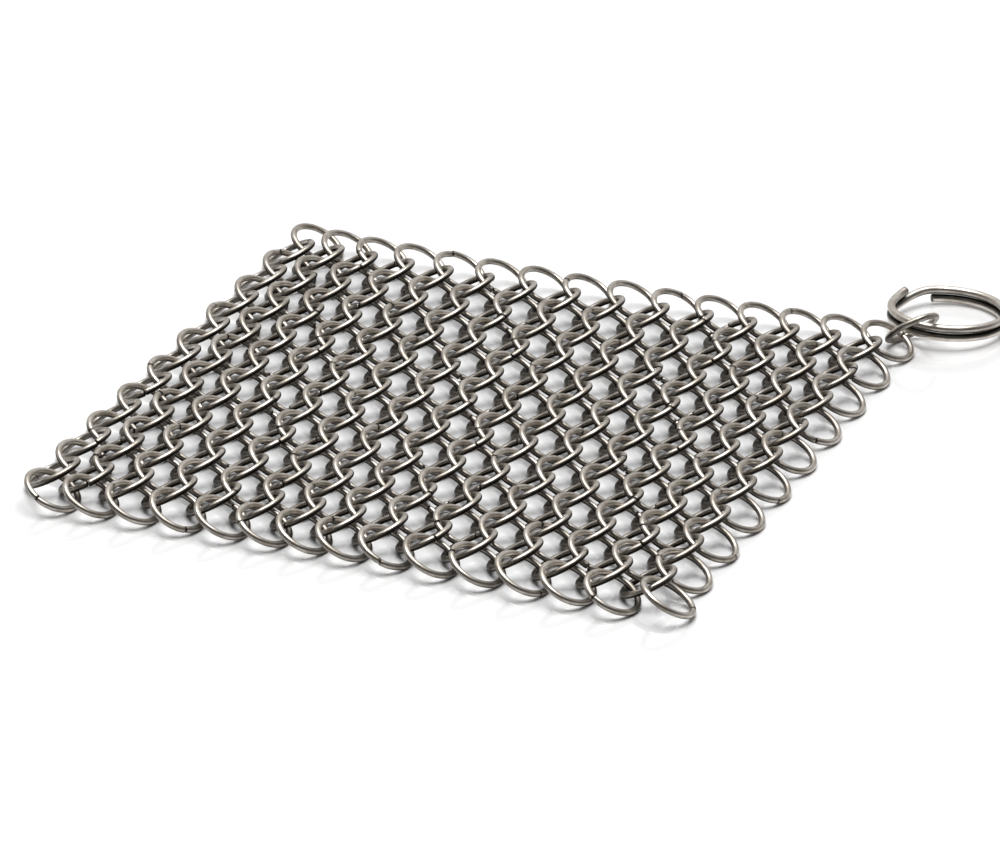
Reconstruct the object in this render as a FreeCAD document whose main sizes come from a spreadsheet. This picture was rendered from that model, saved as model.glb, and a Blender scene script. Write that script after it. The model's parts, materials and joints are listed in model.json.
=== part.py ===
import FreeCAD, Part
import math
import os

from FreeCAD import Placement, Rotation, Vector

# Chain-mail pot scrubber: rows of butted wire rings, each ring linked to the rings of the
# rows beside it, with a link ring and a two-turn split ring hung from the far right corner.
# Millimetres and degrees. X runs along the rows, Y from the near row to the far row, Z up.
# The origin is the middle of the mat, on the surface that it lies on.

# Driving dimensions: alias, value, meaning
SIZES = (
    ("row_count", 19, "rows of rings, an odd number"),
    ("ring_count", 15, "rings in each row, an odd number"),
    ("ring_bore", 8.0, "inside diameter of a mesh ring"),
    ("mesh_wire", 1.1, "diameter of the mesh wire"),
    ("butt_gap", 0.15, "gap between the two butted ends of a ring's wire"),
    ("lean_angle", 28.0, "angle at which a ring leans along its row"),
    ("side_overlap", 1.35, "how far neighbours in a row lie over each other, on their centre lines"),
    ("link_depth", 3.25, "how far rings of neighbouring rows reach into each other, on their centre lines"),
    ("spread", 1.2, "how far the far row's rings are drawn apart at the middle"),
    ("gather", 1.0, "how far the near row's rings are pushed together about the gathered column"),
    ("gather_column_index", 6, "column that they gather about, counted from 0"),
    ("gather_column_count", 2, "columns on either side up to the most moved ring"),
    ("gather_row_count", 5, "rows over which the gathering fades"),
    ("bow", 1.6, "how far the near and the far row bow in at their middles"),
    ("side_draw", 2.2, "how far the first column is drawn in"),
    ("draw_column_count", 1.3, "columns over which that fades"),
    ("seam_angle", 137.5, "turn of the butted ends from one ring to the next"),
    ("corner_slip", 1.4, "how far the loose corner ring has slipped out along its row"),
    ("corner_draw", 1.4, "how far it is drawn in across the rows"),
    ("corner_lift", 0.4, "how far it is lifted"),
    ("corner_angle", 12.0, "angle by which its far side dips"),
    ("link_bearing_angle", 58.0, "direction in which the link ring leaves its corner, from X towards Y"),
    ("link_tilt_angle", 44.0, "tilt of the link ring about that direction"),
    ("link_reach", 3.8, "how far the link ring reaches into the corner ring, on their centre lines"),
    ("split_outer", 21.0, "outside diameter of the split ring"),
    ("split_wire", 1.4, "diameter of the split ring's wire"),
    ("coil_gap", 0.45, "gap between the two turns of the split ring"),
    ("split_seat", 3.4, "how far the split ring lies inside the link ring, on their centre lines"),
    ("split_bearing_angle", 77.0, "direction from the link ring to the split ring's middle"),
    ("split_tilt_angle", 5.0, "tilt that raises the split ring's near side onto the link ring"),
    ("tip_angle", 161.0, "where the upper turn's tip lies, from X towards Y"),
    ("jog_start_angle", 126.0, "where the upper turn starts down to the lower turn, one turn on"),
    ("jog_end_angle", 156.0, "where it reaches the lower turn"),
    ("tail_angle", 126.0, "where the lower turn ends"),
)

QUARTER_ANGLE = 90.0
FULL_ANGLE = 360.0
SAMPLE_COUNT = 40
LEAST_COIL_GAP = 0.4
MEAN_OF_SQUARES = 1 / 3

doc = FreeCAD.newDocument("PotScrubber")

# Spreadsheet of the driving dimensions
sheet = doc.addObject("Spreadsheet::Sheet", "Sizes")
for line, (alias, value, meaning) in enumerate(SIZES, start=1):
    sheet.set(f"A{line}", meaning)
    sheet.set(f"B{line}", str(value))
    sheet.setAlias(f"B{line}", alias)
doc.recompute()


def size(alias):
    """The value of one cell of the sheet."""
    return float(sheet.get(alias))


ROW_COUNT = int(size("row_count"))
RING_COUNT = int(size("ring_count"))

# Sizes worked out from the driving dimensions
wire = size("mesh_wire")
ring_radius = size("ring_bore") / 2 + wire / 2
ring_pitch = 2 * ring_radius - size("side_overlap")
row_pitch = 2 * ring_radius - size("link_depth")
lean = size("lean_angle")
ring_height = ring_radius * math.sin(math.radians(lean)) + wire / 2
middle_column = (RING_COUNT - 1) / 2
middle_row = (ROW_COUNT + 1) / 2
last_ring = RING_COUNT - 1

X_AXIS = Vector(1, 0, 0)
Y_AXIS = Vector(0, 1, 0)
Z_AXIS = Vector(0, 0, 1)


def heading(angle):
    """Level unit vector at an angle from X towards Y."""
    return Vector(math.cos(math.radians(angle)), math.sin(math.radians(angle)), 0)


def is_odd(row):
    return row % 2 == 1


def ring_column(row, index):
    """Even rows lie half a column to the left of odd ones."""
    return index if is_odd(row) else index - 0.5


def row_share(row, index):
    """Place along a row, from -1 at the first column to 1 at the last."""
    return max(-1, ring_column(row, index) / middle_column - 1)


def ring_x(row, index):
    """Place of a ring along its row: drawn in at the left, gathered near and spread far."""
    column = ring_column(row, index)
    draw = size("side_draw") * math.exp(-column / size("draw_column_count"))
    depth = (row - 1) / (ROW_COUNT - 1)
    spread = size("spread") * depth * math.sin(math.pi * row_share(row, index))
    fade = math.exp(-(row - 1) / size("gather_row_count"))
    away = (column - size("gather_column_index")) / size("gather_column_count")
    gather = size("gather") * fade * away * math.exp((1 - away ** 2) / 2)
    return (column - middle_column) * ring_pitch + draw + spread - gather


def ring_y(row, index):
    """Place of a ring across the rows; the rows bow in at their middles, the outer ones most."""
    depth = (row - middle_row) / (middle_row - 1)
    bow = size("bow") * depth * (row_share(row, index) ** 2 - MEAN_OF_SQUARES)
    return (row - middle_row) * row_pitch + bow


def ring_turn(row, index):
    """Odd rows lean with their left side high, even rows with their right side high."""
    lean_turn = Rotation(Y_AXIS, lean if is_odd(row) else -lean)
    seam = size("seam_angle") * (row * RING_COUNT + index)
    return lean_turn * Rotation(Z_AXIS, seam)


def add_ring(name):
    """One ring of round wire, bent until its ends all but meet."""
    ring = doc.addObject("Part::Torus", name)
    ring.Label = name
    centre_line = "(Sizes.ring_bore / 2 + Sizes.mesh_wire / 2)"
    ring.setExpression("Radius1", centre_line)
    ring.setExpression("Radius2", "Sizes.mesh_wire / 2")
    ring.setExpression("Angle3", f"360 - Sizes.butt_gap / {centre_line} * 180 / pi")
    return ring


def add_row(row):
    """One row of the mesh, as a group of separate rings."""
    indexes = range(RING_COUNT - 1) if row == 1 else range(RING_COUNT)
    rings = []
    for index in indexes:
        ring = add_ring(f"ring_{row:02d}_{index + 1:02d}")
        centre = Vector(ring_x(row, index), ring_y(row, index), 0)
        ring.Placement = Placement(centre, ring_turn(row, index))
        rings.append(ring)
    group = doc.addObject("Part::Compound", f"row_{row:02d}")
    group.Label = f"row_{row:02d}"
    group.Links = rings
    group.Placement = Placement(Vector(0, 0, ring_height), Rotation())
    return group


def add_corner_ring():
    """The last ring of the near row, which hangs by a single link and has slipped out of line."""
    ring = add_ring("corner_ring")
    in_line = Vector(ring_x(1, last_ring), ring_y(1, last_ring), ring_height)
    slip = Vector(size("corner_slip"), size("corner_draw"), size("corner_lift"))
    dip = Rotation(X_AXIS, -size("corner_angle"))
    ring.Placement = Placement(in_line + slip, dip * ring_turn(1, last_ring))
    return ring


def link_centre():
    """The link ring stands on the surface, with its inner end inside the far right corner's ring."""
    corner = Vector(ring_x(ROW_COUNT, last_ring), ring_y(ROW_COUNT, last_ring), 0)
    inner_end = ring_radius - size("link_reach")
    centre = corner + heading(size("link_bearing_angle")) * (inner_end + ring_radius)
    centre.z = ring_radius * math.sin(math.radians(size("link_tilt_angle"))) + wire / 2
    return centre


def add_link_ring():
    """The ring that joins the mat's corner to the split ring, its near side raised."""
    ring = add_ring("link_ring")
    bearing = Rotation(Z_AXIS, size("link_bearing_angle"))
    tilt = Rotation(X_AXIS, -size("link_tilt_angle"))
    ring.Placement = Placement(link_centre(), bearing * tilt * Rotation(Z_AXIS, size("seam_angle")))
    return ring


def arc_edge(start, middle, end):
    return Part.Arc(start, middle, end).toShape()


def tangent_arc(start, corner, end):
    """Arc from start to end whose end tangents meet at a corner equally far from both."""
    middle = (start + end) * 0.5
    half_chord = (end - start).Length / 2
    leg = (corner - start).Length
    rise = (corner - middle).Length
    top = middle + (corner - middle) * (half_chord * (leg - half_chord) / rise / rise)
    return arc_edge(start, top, end)


def biarc(start, start_way, end, end_way):
    """Two arcs that leave start and reach end along the given unit vectors and join smoothly."""
    span = end - start
    ways = start_way + end_way
    spread = 2 * (1 - start_way.dot(end_way))
    along = span.dot(ways)
    leg = (math.sqrt(along ** 2 + spread * span.dot(span)) - along) / spread
    first_corner = start + start_way * leg
    last_corner = end - end_way * leg
    joint = (first_corner + last_corner) * 0.5
    return [tangent_arc(start, first_corner, joint), tangent_arc(joint, last_corner, end)]


def split_path():
    """Centre line of the split ring: an upper turn, a short way down and a lower turn."""
    radius = (size("split_outer") - size("split_wire")) / 2
    upper = (size("split_wire") + size("coil_gap")) / 2
    jog_start = size("jog_start_angle") + FULL_ANGLE
    jog_end = size("jog_end_angle") + FULL_ANGLE
    tail = size("tail_angle") + 2 * FULL_ANGLE

    def spot(angle, height):
        return heading(angle) * radius + Z_AXIS * height

    def turn(first, last, height):
        pieces = math.ceil((last - first) / QUARTER_ANGLE)
        step = (last - first) / pieces
        edges = []
        for piece in range(pieces):
            begin = first + piece * step
            edges.append(
                arc_edge(spot(begin, height), spot(begin + step / 2, height), spot(begin + step, height))
            )
        return edges

    start_way = heading(jog_start + QUARTER_ANGLE)
    end_way = heading(jog_end + QUARTER_ANGLE)
    jog = biarc(spot(jog_start, upper), start_way, spot(jog_end, -upper), end_way)
    return turn(size("tip_angle"), jog_start, upper) + jog + turn(jog_end, tail, -upper)


def least_gap(edges):
    """Least gap between the wire's turns, measured on points along its centre line."""
    points = []
    travelled = 0
    for edge in edges:
        for sample in range(SAMPLE_COUNT):
            share = sample / SAMPLE_COUNT
            place = edge.valueAt(edge.FirstParameter + share * (edge.LastParameter - edge.FirstParameter))
            points.append((travelled + share * edge.Length, place))
        travelled += edge.Length
    half_turn = math.pi * (size("split_outer") - size("split_wire")) / 2
    distances = []
    for here, place in points:
        for there, other in points:
            if there - here > half_turn:
                distances.append((place - other).Length)
    return min(distances) - size("split_wire")


def add_split_ring():
    """Two turns of round spring wire, resting on the surface and on the link ring."""
    edges = split_path()
    path = Part.Wire(edges)
    first = edges[0]
    radius = size("split_wire") / 2
    section = Part.Circle(first.valueAt(first.FirstParameter), first.tangentAt(first.FirstParameter), radius)
    tube = path.makePipeShell([Part.Wire([section.toShape()])], True)
    gap = least_gap(edges)
    print(f"split ring: least gap between turns {gap:.3f} mm")
    if gap < LEAST_COIL_GAP:
        raise RuntimeError("the split ring's turns are too close")

    outward = heading(size("split_bearing_angle"))
    turn_radius = (size("split_outer") - size("split_wire")) / 2
    tilt = math.radians(size("split_tilt_angle"))
    upper = (size("split_wire") + size("coil_gap")) / 2
    seat = link_centre() + heading(size("link_bearing_angle")) * (ring_radius - size("split_seat"))
    centre = seat + outward * turn_radius
    centre.z = turn_radius * math.sin(tilt) + upper * math.cos(tilt) + radius
    tilt_axis = heading(size("split_bearing_angle") + QUARTER_ANGLE)

    ring = doc.addObject("Part::Feature", "split_ring")
    ring.Label = "split_ring"
    ring.Shape = tube
    ring.Placement = Placement(centre, Rotation(tilt_axis, size("split_tilt_angle")))
    return ring


subparts = [add_row(row) for row in range(1, ROW_COUNT + 1)]
subparts += [add_corner_ring(), add_link_ring(), add_split_ring()]
doc.recompute()

# Nothing is written unless every object is sound
for item in doc.Objects:
    if "Invalid" in item.State or "Error" in item.State:
        raise RuntimeError(f"{item.Label} did not build: {item.State}")
for item in subparts:
    if item.Shape.isNull() or not item.Shape.isValid():
        raise RuntimeError(f"{item.Label} has no sound shape")

os.makedirs("parts", exist_ok=True)
for item in subparts:
    item.Shape.exportStep(f"parts/{item.Label}.step")
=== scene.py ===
"""Wire rings, a split ring, their steel finishes and a stage for a chain-mail pot scrubber."""

import json
import math
import random
from typing import NamedTuple

import bpy
import numpy as np
from mathutils import Matrix, Vector


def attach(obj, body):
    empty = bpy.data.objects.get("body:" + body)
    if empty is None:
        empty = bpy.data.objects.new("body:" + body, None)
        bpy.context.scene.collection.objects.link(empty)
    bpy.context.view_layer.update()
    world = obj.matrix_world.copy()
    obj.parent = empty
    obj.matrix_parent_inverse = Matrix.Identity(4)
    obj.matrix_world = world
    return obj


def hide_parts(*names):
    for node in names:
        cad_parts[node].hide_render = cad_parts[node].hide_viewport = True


bl_info = {
    "name": "Chain-mail pot scrubber",
    "version": (1, 0, 0),
    "blender": (4, 5, 0),
    "location": "3D View > Sidebar > Scrubber",
    "description": "Dresses a ring-mesh pot scrubber with wire rings, a split ring and steel finishes",
    "category": "Object",
}

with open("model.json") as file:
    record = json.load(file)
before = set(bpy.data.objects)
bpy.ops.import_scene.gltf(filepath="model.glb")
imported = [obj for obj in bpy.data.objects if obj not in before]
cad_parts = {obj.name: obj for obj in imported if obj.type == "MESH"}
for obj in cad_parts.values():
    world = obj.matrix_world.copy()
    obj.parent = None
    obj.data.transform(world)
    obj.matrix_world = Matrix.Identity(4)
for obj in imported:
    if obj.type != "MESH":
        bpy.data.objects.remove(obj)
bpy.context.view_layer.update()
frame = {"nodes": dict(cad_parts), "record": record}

MM = 0.001
UP = Vector((0, 0, 1))
ROW_NODES = sorted(name for name in frame["nodes"] if name.startswith("row_"))
LOOSE_NODES = ("corner_ring", "link_ring")
MOUNTS = {mount["name"]: mount for mount in frame["record"]["mounts"]}

# Names of what a wire's mesh carries for its finish and its painted shade
WIRE_MAP = "wire"
CUT_END = "cut_end"
OPEN_SIDE = "open_side"


# Settings

class MeshWireSettings(bpy.types.PropertyGroup):
    """Sizes of the mesh rings' wire."""
    wire: bpy.props.FloatProperty(
        name="Wire", description="Diameter of the mesh wire", default=1.1 * MM, unit="LENGTH")
    butt_gap: bpy.props.FloatProperty(
        name="Butt gap", description="Gap between a ring's two wire ends", default=0.05 * MM, unit="LENGTH")
    end_round: bpy.props.FloatProperty(
        name="End rounding", description="How far the cut ends are tumbled round", default=0.14 * MM,
        unit="LENGTH")
    end_step: bpy.props.FloatProperty(
        name="End step", description="Most that two butted ends miss each other", default=0.16 * MM,
        unit="LENGTH")
    sway: bpy.props.FloatProperty(
        name="Sway", description="Most that a ring tilts out of its even place", default=math.radians(1.0),
        subtype="ANGLE", unit="ROTATION")
    steps: bpy.props.IntProperty(name="Steps", description="Sections along a ring", default=56)
    sides: bpy.props.IntProperty(name="Sides", description="Points round the wire", default=14)


class SplitRingSettings(bpy.types.PropertyGroup):
    """Sizes of the two-turn split ring."""
    outer: bpy.props.FloatProperty(
        name="Outside", description="Outside diameter", default=21 * MM, unit="LENGTH")
    wire: bpy.props.FloatProperty(
        name="Wire", description="Diameter of the spring wire", default=1.4 * MM, unit="LENGTH")
    coil_gap: bpy.props.FloatProperty(
        name="Coil gap", description="Gap between the two turns", default=0.12 * MM, unit="LENGTH")
    tip_spring: bpy.props.FloatProperty(
        name="Tip spring", description="How far the upper turn's tip springs up", default=0.7 * MM,
        unit="LENGTH")
    tip_run: bpy.props.FloatProperty(
        name="Tip run", description="How much of the upper turn springs up", default=math.radians(30),
        subtype="ANGLE", unit="ROTATION")
    end_round: bpy.props.FloatProperty(
        name="End rounding", description="How far the cut ends are rounded", default=0.12 * MM,
        unit="LENGTH")
    tip_angle: bpy.props.FloatProperty(
        name="Tip", description="Where the upper turn's tip lies", default=math.radians(158),
        subtype="ANGLE", unit="ROTATION")
    jog_start: bpy.props.FloatProperty(
        name="Step start", description="Where the upper turn starts down", default=math.radians(126),
        subtype="ANGLE", unit="ROTATION")
    jog_end: bpy.props.FloatProperty(
        name="Step end", description="Where it reaches the lower turn", default=math.radians(176),
        subtype="ANGLE", unit="ROTATION")
    tail_angle: bpy.props.FloatProperty(
        name="Tail", description="Where the lower turn ends", default=math.radians(126), subtype="ANGLE",
        unit="ROTATION")
    steps: bpy.props.IntProperty(name="Steps", description="Sections along the wire", default=220)
    sides: bpy.props.IntProperty(name="Sides", description="Points round the wire", default=20)


class SteelSettings(bpy.types.PropertyGroup):
    """Colours of the two steels."""
    mesh_bright: bpy.props.FloatVectorProperty(
        name="Mesh, worn", description="Mesh steel where it is rubbed bright", default=(0.64, 0.595, 0.54),
        subtype="COLOR")
    mesh_dull: bpy.props.FloatVectorProperty(
        name="Mesh, dull", description="Mesh steel where it is dull", default=(0.37, 0.33, 0.28),
        subtype="COLOR")
    # Dark colour for the cut ends, and for painted shade on the wires' sheltered sides and low in the weave
    shade_and_cut_end_colour: bpy.props.FloatVectorProperty(
        name="Painted shade and cut ends", description="Either steel where it is sheltered", default=(0.022, 0.017, 0.012),
        subtype="COLOR")
    spring_bright: bpy.props.FloatVectorProperty(
        name="Spring, worn", description="Split ring where it is rubbed bright", default=(0.74, 0.69, 0.63),
        subtype="COLOR")
    spring_dull: bpy.props.FloatVectorProperty(
        name="Spring, dull", description="Split ring where it is dull", default=(0.52, 0.475, 0.42),
        subtype="COLOR")


class StageSettings(bpy.types.PropertyGroup):
    """The camera, the floor and the lights."""
    azimuth: bpy.props.FloatProperty(
        name="Azimuth", description="Camera's turn round the scrubber", default=math.radians(22.55),
        subtype="ANGLE", unit="ROTATION")
    elevation: bpy.props.FloatProperty(
        name="Elevation", description="Camera's height above the horizon", default=math.radians(25.34),
        subtype="ANGLE", unit="ROTATION")
    distance: bpy.props.FloatProperty(
        name="Distance", description="From the camera to what it looks at", default=1.2714, unit="LENGTH")
    look_at: bpy.props.FloatVectorProperty(
        name="Looks at", description="Point in the middle of the picture", default=(0.00449, 0.00118, 0),
        subtype="XYZ", unit="LENGTH")
    lens: bpy.props.FloatProperty(
        name="Lens", description="Focal length in millimetres on a 36 mm sensor", default=273.6)
    floor_size: bpy.props.FloatProperty(
        name="Floor size", description="Side of the floor", default=8.0, unit="LENGTH")
    floor_colour: bpy.props.FloatVectorProperty(
        name="Floor", description="Colour of the floor", default=(0.97, 0.97, 0.97), subtype="COLOR")
    back_light: bpy.props.FloatProperty(
        name="Back of the room", description="Brightness of the surroundings behind the scrubber",
        default=0.7)
    front_light: bpy.props.FloatProperty(
        name="Front of the room", description="Brightness of the surroundings on the camera's side",
        default=0.05)
    softbox_light: bpy.props.FloatProperty(
        name="Softbox", description="Power of the softbox above the scrubber", default=11.5, unit="POWER")
    softbox_size: bpy.props.FloatProperty(
        name="Softbox size", description="Side of the softbox", default=0.85, unit="LENGTH")
    softbox_height: bpy.props.FloatProperty(
        name="Softbox height", description="Height of the softbox above the floor", default=1.0,
        unit="LENGTH")
    softbox_back: bpy.props.FloatProperty(
        name="Softbox back", description="How far the softbox stands behind the scrubber", default=0.1,
        unit="LENGTH")


# Shading helpers

# Sockets of a Mix node that mixes colours, whose names the other kinds of mix share
MIX_FIRST = 6
MIX_SECOND = 7
MIX_RESULT = 2


class Number:
    """A socket that carries a number: arithmetic on it adds Math nodes."""

    def __init__(self, shading, socket):
        self.shading = shading
        self.socket = socket

    def __add__(self, other):
        return self.shading.math("ADD", self, other)

    __radd__ = __add__

    def __sub__(self, other):
        return self.shading.math("SUBTRACT", self, other)

    def __rsub__(self, other):
        return self.shading.math("SUBTRACT", other, self)

    def __mul__(self, other):
        return self.shading.math("MULTIPLY", self, other)

    __rmul__ = __mul__

    def between(self, low, high):
        """0 at low, 1 at high and smooth between them."""
        return self.shading.number(
            "ShaderNodeMapRange", "Result", {"interpolation_type": "SMOOTHSTEP"},
            {"Value": self, "From Min": low, "From Max": high})


class Shading:
    """The nodes of one material or of the world."""

    def __init__(self, owner):
        self.owner = owner
        owner.use_nodes = True
        self.tree = owner.node_tree
        self.tree.nodes.clear()

    def add(self, kind, settings=None, sockets=None):
        """A node of that kind: its settings first, then the values or links of its sockets."""
        node = self.tree.nodes.new(kind)
        for name, value in (settings or {}).items():
            setattr(node, name, value)
        for name, value in (sockets or {}).items():
            if isinstance(value, Number):
                self.tree.links.new(value.socket, node.inputs[name])
            elif isinstance(value, bpy.types.NodeSocket):
                self.tree.links.new(value, node.inputs[name])
            else:
                node.inputs[name].default_value = value
        return node

    def number(self, kind, output, settings=None, sockets=None):
        """One output of a new node, ready for arithmetic."""
        return Number(self, self.add(kind, settings, sockets).outputs[output])

    def math(self, operation, *values):
        """What a Math node makes of those values."""
        return self.number("ShaderNodeMath", "Value", {"operation": operation}, dict(enumerate(values)))

    def parts(self, vector):
        """The three numbers of a vector."""
        node = self.add("ShaderNodeSeparateXYZ", None, {"Vector": vector})
        return [Number(self, output) for output in node.outputs]

    def noise(self, place, scale, detail, roughness):
        """Noise from 0 to 1 over those places."""
        return self.number("ShaderNodeTexNoise", "Fac", None, {
            "Vector": place, "Scale": scale, "Detail": detail, "Roughness": roughness})

    def mix(self, share, first, second):
        """Colour that runs from the first to the second."""
        node = self.add("ShaderNodeMix", {"data_type": "RGBA"}, {
            "Factor": share, MIX_FIRST: first, MIX_SECOND: second})
        return node.outputs[MIX_RESULT]

    def surface(self, shader, output="ShaderNodeOutputMaterial"):
        """The finished material or world."""
        self.add(output, None, {"Surface": shader})
        return self.owner


def opaque(colour):
    """The colour with its alpha."""
    return (*colour, 1.0)


# Finishes

# Drawn lines change this often in a millimetre along the wire, and from its middle to its surface
LINES_ALONG = 0.4
LINES_ROUND = 7.0

# Rubbed patches and pits in a metre
PATCH_SCALE = 420.0
PIT_SCALE = 5200.0

# Patches and lines share in what is rubbed, lines and pits in the relief
PATCH_SHARE = 0.65
RUBBED_RANGE = (0.38, 0.62)
LINE_RELIEF = 0.7
RELIEF_STRENGTH = 0.35
RELIEF_DEPTH = 0.006 * MM

# Roughness where the wire is dull, and what changes it
DULL_ROUGHNESS = 0.36
RUBBED_POLISH = 0.12
PIT_ROUGHNESS = 0.1
SHADE_AND_CUT_END_ROUGHNESS = 0.12

# The rim fades in past the reach, where this share of the painted shade on the sheltered side is left off,
# as the rim lies in the open light
RIM_FADE = (-0.5 * MM, 3.0 * MM)
RIM_SHADE_CUT = 0.55

# Painted shade grows from the first height down to the second, and the drawn lines fray its edge on the
# wire
LOW_HEIGHTS = (3.0 * MM, 1.2 * MM)
SHADE_FRAY = 0.5

# The surroundings brighten over this range of the cosine of the angle to the way back
ROOM_FADE = (-0.35, 0.75)


def wire_grain(shading, body_place):
    """Lines drawn along the wire, patches and fine pits, each from 0 to 1."""
    wire_place = shading.add("ShaderNodeUVMap", {"uv_map": WIRE_MAP}).outputs["UV"]
    along, turn, _ = shading.parts(wire_place)
    angle = turn * math.tau
    line_place = shading.add("ShaderNodeCombineXYZ", None, {
        "X": along * LINES_ALONG,
        "Y": shading.math("COSINE", angle) * LINES_ROUND,
        "Z": shading.math("SINE", angle) * LINES_ROUND})
    lines = shading.noise(line_place.outputs["Vector"], scale=1.0, detail=4.0, roughness=0.6)
    patches = shading.noise(body_place, scale=PATCH_SCALE, detail=3.0, roughness=0.55)
    pits = shading.noise(body_place, scale=PIT_SCALE, detail=2.0, roughness=0.6)
    return lines, patches, pits


def wire_shade_and_cut_ends(shading, body_place, lines, reach, side_range, weave_shade_share):
    """1 where the wire gets painted shade or has a dark cut end, 0 where it is in the open.

    The cut ends are dark. Painted shade lies on the wire's sheltered side as the open side falls through
    the side range, and by the low share on what lies low down in the weave. The rim past the reach lies in
    the open light and gets less of it.
    """
    *across, height = shading.parts(body_place)
    inner, outer = RIM_FADE
    rims = [shading.math("ABSOLUTE", place).between(half + inner, half + outer)
            for place, half in zip(across, reach)]
    rim = shading.math("MAXIMUM", *rims)
    cut_end = shading.number("ShaderNodeAttribute", "Fac", {"attribute_name": CUT_END})
    open_side = shading.number("ShaderNodeAttribute", "Fac", {"attribute_name": OPEN_SIDE})
    # Painted shade on the sheltered side of the wire, less of it on the rim
    frayed_side = open_side + (lines - 0.5) * SHADE_FRAY
    sheltered_side_shade = frayed_side.between(*side_range) * (1 - RIM_SHADE_CUT * rim)
    # Painted shade low down, where the weave shades the rings, none on the rim
    weave_shade = height.between(*LOW_HEIGHTS) * weave_shade_share * (1 - rim)
    return shading.math("MAXIMUM", cut_end, shading.math("MAXIMUM", sheltered_side_shade, weave_shade))


def wire_steel(name, bright, dull, shade_and_cut_end_colour, reach, side_range, weave_shade_share):
    """Drawn, tumbled wire: lines, rubbed patches, pits, dark cut ends and painted shade where it is
    sheltered.
    """
    shading = Shading(bpy.data.materials.new(name))
    body_place = shading.add("ShaderNodeTexCoord").outputs["Object"]
    lines, patches, pits = wire_grain(shading, body_place)
    rubbed = (patches * PATCH_SHARE + lines * (1 - PATCH_SHARE)).between(*RUBBED_RANGE)
    shaded_or_cut_end = wire_shade_and_cut_ends(shading, body_place, lines, reach, side_range, weave_shade_share)
    worn = shading.mix(rubbed, opaque(dull), opaque(bright))
    # Painted shade and dark cut ends over the worn steel
    colour = shading.mix(shaded_or_cut_end, worn, opaque(shade_and_cut_end_colour))
    rough_spots = PIT_ROUGHNESS * pits + SHADE_AND_CUT_END_ROUGHNESS * shaded_or_cut_end
    roughness = DULL_ROUGHNESS - RUBBED_POLISH * rubbed + rough_spots
    relief = shading.add("ShaderNodeBump", None, {
        "Strength": RELIEF_STRENGTH, "Distance": RELIEF_DEPTH,
        "Height": lines * LINE_RELIEF + pits * (1 - LINE_RELIEF)})
    steel = shading.add("ShaderNodeBsdfPrincipled", None, {
        "Base Color": colour, "Metallic": 1.0, "Roughness": roughness, "Normal": relief.outputs["Normal"]})
    return shading.surface(steel.outputs["BSDF"])


def floor_finish(colour):
    """Plain pale glossy sheet."""
    shading = Shading(bpy.data.materials.new("floor_sheet"))
    sheet = shading.add("ShaderNodeBsdfPrincipled", None, {
        "Base Color": opaque(colour), "Roughness": 0.04, "IOR": 1.9})
    return shading.surface(sheet.outputs["BSDF"])


def room_light(back_way, front, back):
    """Plain surroundings that are dark on the camera's side and pale behind the object."""
    shading = Shading(bpy.data.worlds.new("room"))
    way = shading.add("ShaderNodeTexCoord").outputs["Generated"]
    facing = shading.number(
        "ShaderNodeVectorMath", "Value", {"operation": "DOT_PRODUCT"}, {0: way, 1: back_way})
    strength = front + (back - front) * facing.between(*ROOM_FADE)
    room = shading.add("ShaderNodeBackground", None, {"Color": opaque((1, 1, 1)), "Strength": strength})
    return shading.surface(room.outputs["Background"], "ShaderNodeOutputWorld")


# Wire shapes

# Sections that round a cut end: their depths in shares of the rounding, and how much of the cut each shows
END_DEPTHS = np.array([0.0, 0.3, 1.0])
END_SHARES = np.array([1.0, 1.0, 0.5])

# Each ring's drawn lines start somewhere along this many millimetres of wire
WIRE_STOCK = 1000


class Ring(NamedTuple):
    """Where a ring lies: its middle, the way to its seam, its axis and its centre line's radius."""
    middle: np.ndarray
    seam: np.ndarray
    axis: np.ndarray
    radius: float


class Wire(NamedTuple):
    """The mesh of one wire.

    Each corner of each face has a place: the millimetres along the wire and the share of a turn round it.
    Each point has a share of the cut end, and an open side: 1 on the side in the open and -1 on the side
    that is sheltered, where shade is painted.
    """
    points: np.ndarray
    faces: list
    places: np.ndarray
    cut_end: np.ndarray
    open_side: np.ndarray


def unit(vectors):
    """The vectors at a length of one."""
    return vectors / np.linalg.norm(vectors, axis=-1, keepdims=True)


def tumbled_end(path, radius, end_round):
    """Points that round a path's cut start, and the wire's radius at each of them."""
    way = unit(path[1] - path[0])
    shrink = 1 - np.sqrt(1 - (1 - END_DEPTHS) ** 2)
    return path[0] + way * (END_DEPTHS * end_round)[:, None], radius - end_round * shrink


def wire_faces(sections, sides):
    """Quads from each section of a wire to the next, then a cap on each cut end."""
    rows = np.arange(sections - 1)[:, None] * sides
    here = rows + np.arange(sides)
    beside = rows + (np.arange(sides) + 1) % sides
    quads = np.stack([here, here + sides, beside + sides, beside], axis=-1).reshape(-1, 4)
    last = (sections - 1) * sides
    caps = [list(range(sides)), list(range(last + sides - 1, last - 1, -1))]
    return quads.tolist() + caps


def wire_places(line, turns):
    """Where the corners of a wire's faces lie on it, in the order of the faces."""
    steps = np.linalg.norm(np.diff(line, axis=0), axis=1)
    travelled = np.concatenate([[0], np.cumsum(steps)]) / MM
    grid = (len(steps), len(turns))
    start = np.broadcast_to(travelled[:-1, None], grid)
    end = np.broadcast_to(travelled[1:, None], grid)
    low = np.broadcast_to(turns, grid)
    high = low + 1 / len(turns)
    along = np.stack([start, end, end, start], axis=-1)
    around = np.stack([low, low, high, high], axis=-1)
    quad_places = np.stack([along, around], axis=-1).reshape(-1, 2)
    cap_places = [(0.0, turn) for turn in turns] + [(travelled[-1], turn) for turn in turns[::-1]]
    return np.concatenate([quad_places, np.array(cap_places)])


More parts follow.
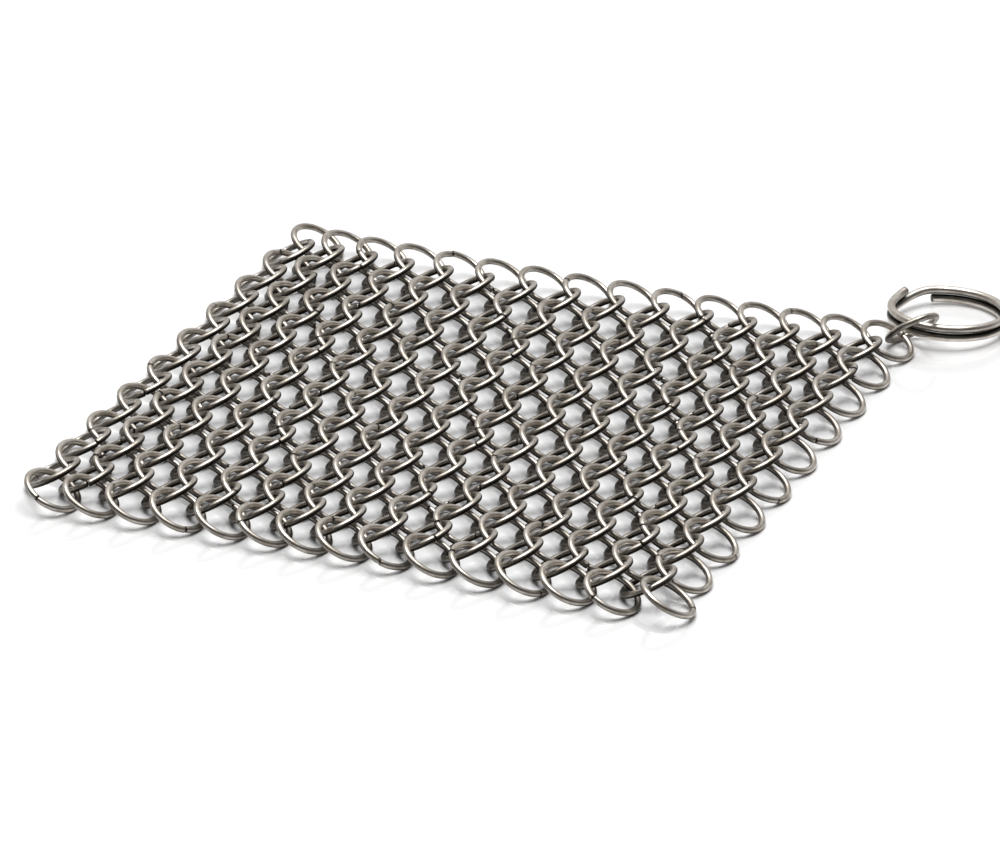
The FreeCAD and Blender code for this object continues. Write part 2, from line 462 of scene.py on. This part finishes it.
def sweep_wire(path, upright, facing, radius, sides, end_round):
    """A round wire with tumbled ends along a path.

    Its section keeps its upright along the given direction. Its open side is up where the facing is 1 and
    down where it is -1.
    """
    head, head_radii = tumbled_end(path, radius, end_round)
    tail, tail_radii = tumbled_end(path[::-1], radius, end_round)
    line = np.concatenate([head, path[1:-1], tail[::-1]])
    radii = np.concatenate([head_radii, np.full(len(path) - 2, radius), tail_radii[::-1]])
    way_up = np.concatenate([np.full(len(head), facing[0]), facing[1:-1], np.full(len(tail), facing[-1])])
    cut_end = np.concatenate([END_SHARES, np.zeros(len(path) - 2), END_SHARES[::-1]])

    ways = unit(np.gradient(line, axis=0))
    across = unit(np.cross(ways, upright))
    rise = np.cross(across, ways)
    turns = np.arange(sides) / sides
    outward = np.cos(turns * math.tau)
    upward = np.sin(turns * math.tau)
    spokes = outward[None, :, None] * across[:, None, :] + upward[None, :, None] * rise[:, None, :]
    points = line[:, None, :] + radii[:, None, None] * spokes
    return Wire(
        points=points.reshape(-1, 3),
        faces=wire_faces(len(line), sides),
        places=wire_places(line, turns),
        cut_end=np.repeat(cut_end, sides),
        open_side=np.outer(way_up, upward).ravel())


def new_piece(name, wires, material):
    """One object of several wires, smooth along the wire and flat on its cut ends."""
    faces = []
    offset = 0
    for wire in wires:
        faces += [[corner + offset for corner in face] for face in wire.faces]
        offset += len(wire.points)
    points = np.concatenate([wire.points for wire in wires])
    places = np.concatenate([wire.places for wire in wires])
    shares = {
        CUT_END: np.concatenate([wire.cut_end for wire in wires]),
        OPEN_SIDE: np.concatenate([wire.open_side for wire in wires]),
    }
    mesh = bpy.data.meshes.new(name)
    mesh.from_pydata(points.tolist(), [], faces)
    mesh.uv_layers.new(name=WIRE_MAP).data.foreach_set("uv", places.ravel())
    for attribute, values in shares.items():
        mesh.attributes.new(attribute, "FLOAT", "POINT").data.foreach_set("value", values)
    mesh.polygons.foreach_set("use_smooth", [len(face) == 4 for face in faces])
    mesh.materials.append(material)
    mesh.update()
    piece = bpy.data.objects.new(name, mesh)
    bpy.context.scene.collection.objects.link(piece)
    return piece


def node_arrays(node):
    """A CAD node's points and triangles."""
    mesh = frame["nodes"][node].data
    points = np.zeros(len(mesh.vertices) * 3)
    mesh.vertices.foreach_get("co", points)
    corners = np.zeros(len(mesh.loops), dtype=int)
    mesh.loops.foreach_get("vertex_index", corners)
    return points.reshape(-1, 3), corners.reshape(-1, 3)


def read_rings(node):
    """Where each ring of a CAD node lies.

    A ring's solid is a tube and two cut ends, one after another in the node's mesh.
    """
    points, triangles = node_arrays(node)
    highest = np.maximum.accumulate(triangles.max(axis=1))
    lowest = np.minimum.accumulate(triangles.min(axis=1)[::-1])[::-1]
    breaks = np.flatnonzero(highest[:-1] < lowest[1:]) + 1
    patches = [points[np.unique(patch)] for patch in np.split(triangles, breaks)]
    rings = []
    for tube, first_end, last_end in zip(patches[0::3], patches[1::3], patches[2::3]):
        middle = (tube.min(axis=0) + tube.max(axis=0)) / 2
        axis = np.linalg.svd(tube - tube.mean(axis=0), full_matrices=False)[2][2]
        axis = axis * math.copysign(1, axis[2])
        to_ends = (first_end.mean(axis=0) + last_end.mean(axis=0)) / 2 - middle
        seam = unit(to_ends - axis * axis.dot(to_ends))
        rings.append(Ring(middle, seam, axis, np.linalg.norm(first_end.mean(axis=0) - middle)))
    return rings


def ring_wire(ring, settings, chance):
    """One bent ring, its ends a little out of line and its tilt a little out of its even place.

    A ring that would dip into the surface it lies on is lifted clear of it.
    """
    side = np.cross(ring.axis, ring.seam)
    half_gap = settings.butt_gap / ring.radius / 2
    angles = np.linspace(half_gap, math.tau - half_gap, settings.steps)[:, None]
    end_step = settings.end_step * chance.uniform(-1, 1)
    climb = end_step * (angles / math.tau - 0.5)
    path = ring.radius * (np.cos(angles) * ring.seam + np.sin(angles) * side) + climb * ring.axis
    sway_way = chance.uniform(0, math.tau)
    sway_axis = Vector(ring.seam * math.cos(sway_way) + side * math.sin(sway_way))
    sway = np.array(Matrix.Rotation(settings.sway * chance.uniform(-1, 1), 3, sway_axis))
    wire_start = chance.uniform(0, WIRE_STOCK)
    wire = sweep_wire(
        path @ sway.T + ring.middle, sway @ ring.axis, np.ones(settings.steps), settings.wire / 2,
        settings.sides, settings.end_round)
    lift = max(0.0, -wire.points[:, 2].min())
    return wire._replace(
        points=wire.points + lift * np.array(UP), places=wire.places + np.array([wire_start, 0.0]))


def split_path(settings):
    """Centre line of the split ring in its own place: an upper turn, a step down and a lower turn.

    Its facing goes from 1 on the upper turn to -1 on the lower one: the sides in between get painted shade.
    """
    radius = (settings.outer - settings.wire) / 2
    upper = (settings.wire + settings.coil_gap) / 2
    angles = np.linspace(settings.tip_angle, settings.tail_angle + 2 * math.tau, settings.steps)
    past_start = angles - settings.jog_start - math.tau
    jog_share = np.clip(past_start / (settings.jog_end - settings.jog_start), 0, 1)
    facing = np.cos(jog_share * math.pi)
    tip_share = np.clip(1 - (angles - settings.tip_angle) / settings.tip_run, 0, 1)
    height = upper * facing + settings.tip_spring * tip_share ** 2
    return np.stack([radius * np.cos(angles), radius * np.sin(angles), height], axis=-1), facing


# Operators

class SCRUBBER_OT_mesh_rows(bpy.types.Operator):
    """Winds every row of linked rings, the corner ring and the link ring"""
    bl_idname = "scrubber.mesh_rows"
    bl_label = "Mesh rows"

    def execute(self, context):
        settings = context.scene.scrubber_mesh
        steel = context.scene.scrubber_steel
        rings = {node: read_rings(node) for node in (*ROW_NODES, *LOOSE_NODES)}
        middles = np.array([ring.middle for node in ROW_NODES for ring in rings[node]])
        reach = np.abs(middles).max(axis=0)[:2]
        # Painted shade on the wires' sheltered sides and low in the weave, less of it on the rim
        material = wire_steel(
            "mesh_steel_wire", steel.mesh_bright, steel.mesh_dull, steel.shade_and_cut_end_colour, reach,
            side_range=(0.4, -0.15), weave_shade_share=0.8)
        for node in rings:
            chance = random.Random(node)
            wires = [ring_wire(ring, settings, chance) for ring in rings[node]]
            piece = new_piece(f"{node}_wire", wires, material)
            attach(piece, node)
            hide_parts(node)
        return {"FINISHED"}


class SCRUBBER_OT_split_ring(bpy.types.Operator):
    """Winds the split ring that hangs from the corner"""
    bl_idname = "scrubber.split_ring"
    bl_label = "Split ring"

    def execute(self, context):
        settings = context.scene.scrubber_split
        steel = context.scene.scrubber_steel
        middle = np.array(MOUNTS["hang_ring"]["pos_m"])
        axis = Vector(MOUNTS["hang_ring"]["axis"])
        past_ring = np.abs(middle)[:2] + settings.outer
        # Painted shade where the two turns face each other, none low down
        material = wire_steel(
            "split_ring_wire", steel.spring_bright, steel.spring_dull, steel.shade_and_cut_end_colour, reach=past_ring,
            side_range=(0.3, -0.8), weave_shade_share=0.0)
        turn = np.array(UP.rotation_difference(axis).to_matrix())
        path, facing = split_path(settings)
        wire = sweep_wire(
            path @ turn.T + middle, np.array(axis), facing, settings.wire / 2, settings.sides,
            settings.end_round)
        piece = new_piece("split_ring_wire", [wire], material)
        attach(piece, "split_ring")
        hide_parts("split_ring")
        return {"FINISHED"}


class SCRUBBER_OT_stage(bpy.types.Operator):
    """Sets up the camera, the floor and the lights"""
    bl_idname = "scrubber.stage"
    bl_label = "Stage"

    def execute(self, context):
        settings = context.scene.scrubber_stage
        context.scene.view_settings.view_transform = "Standard"
        back_way = Vector((-math.sin(settings.azimuth), math.cos(settings.azimuth), 0))
        self.add_camera(context.scene, settings, back_way)
        self.add_floor(context.scene, settings)
        self.add_softbox(context.scene, settings, back_way)
        context.scene.world = room_light(back_way, settings.front_light, settings.back_light)
        return {"FINISHED"}

    def add_camera(self, scene, settings, back_way):
        camera_data = bpy.data.cameras.new("camera")
        camera_data.lens = settings.lens
        camera = bpy.data.objects.new("camera", camera_data)
        way = UP * math.sin(settings.elevation) - back_way * math.cos(settings.elevation)
        camera.location = Vector(settings.look_at) + way * settings.distance
        camera.rotation_euler = way.to_track_quat("Z", "Y").to_euler()
        scene.collection.objects.link(camera)
        scene.camera = camera

    def add_floor(self, scene, settings):
        half = settings.floor_size / 2
        mesh = bpy.data.meshes.new("floor")
        corners = [(-half, -half, 0), (half, -half, 0), (half, half, 0), (-half, half, 0)]
        mesh.from_pydata(corners, [], [(0, 1, 2, 3)])
        mesh.materials.append(floor_finish(settings.floor_colour))
        floor = bpy.data.objects.new("floor", mesh)
        scene.collection.objects.link(floor)

    def add_softbox(self, scene, settings, back_way):
        light_data = bpy.data.lights.new("softbox", "AREA")
        light_data.shape = "SQUARE"
        light_data.size = settings.softbox_size
        light_data.energy = settings.softbox_light
        light = bpy.data.objects.new("softbox", light_data)
        place = back_way * settings.softbox_back + UP * settings.softbox_height
        light.location = place
        light.rotation_euler = place.to_track_quat("Z", "Y").to_euler()
        scene.collection.objects.link(light)


class SCRUBBER_PT_panel(bpy.types.Panel):
    """Lists the scrubber's pieces and their settings"""
    bl_idname = "SCRUBBER_PT_panel"
    bl_label = "Pot scrubber"
    bl_space_type = "VIEW_3D"
    bl_region_type = "UI"
    bl_category = "Scrubber"

    def draw(self, context):
        for operator in OPERATORS:
            self.layout.operator(operator.bl_idname)
        for name, settings in SETTINGS.items():
            box = self.layout.box()
            for value in settings.__annotations__:
                box.prop(getattr(context.scene, name), value)


SETTINGS = {
    "scrubber_mesh": MeshWireSettings,
    "scrubber_split": SplitRingSettings,
    "scrubber_steel": SteelSettings,
    "scrubber_stage": StageSettings,
}
OPERATORS = (SCRUBBER_OT_mesh_rows, SCRUBBER_OT_split_ring, SCRUBBER_OT_stage)


def register():
    for settings in SETTINGS.values():
        bpy.utils.register_class(settings)
    for operator in OPERATORS:
        bpy.utils.register_class(operator)
    bpy.utils.register_class(SCRUBBER_PT_panel)
    for name, settings in SETTINGS.items():
        setattr(bpy.types.Scene, name, bpy.props.PointerProperty(type=settings))


def unregister():
    for name in SETTINGS:
        delattr(bpy.types.Scene, name)
    bpy.utils.unregister_class(SCRUBBER_PT_panel)
    for operator in reversed(OPERATORS):
        bpy.utils.unregister_class(operator)
    for settings in reversed(SETTINGS.values()):
        bpy.utils.unregister_class(settings)


def main():
    register()
    bpy.ops.scrubber.mesh_rows()
    bpy.ops.scrubber.split_ring()
    bpy.ops.scrubber.stage()


if __name__ == "__main__":
    main()
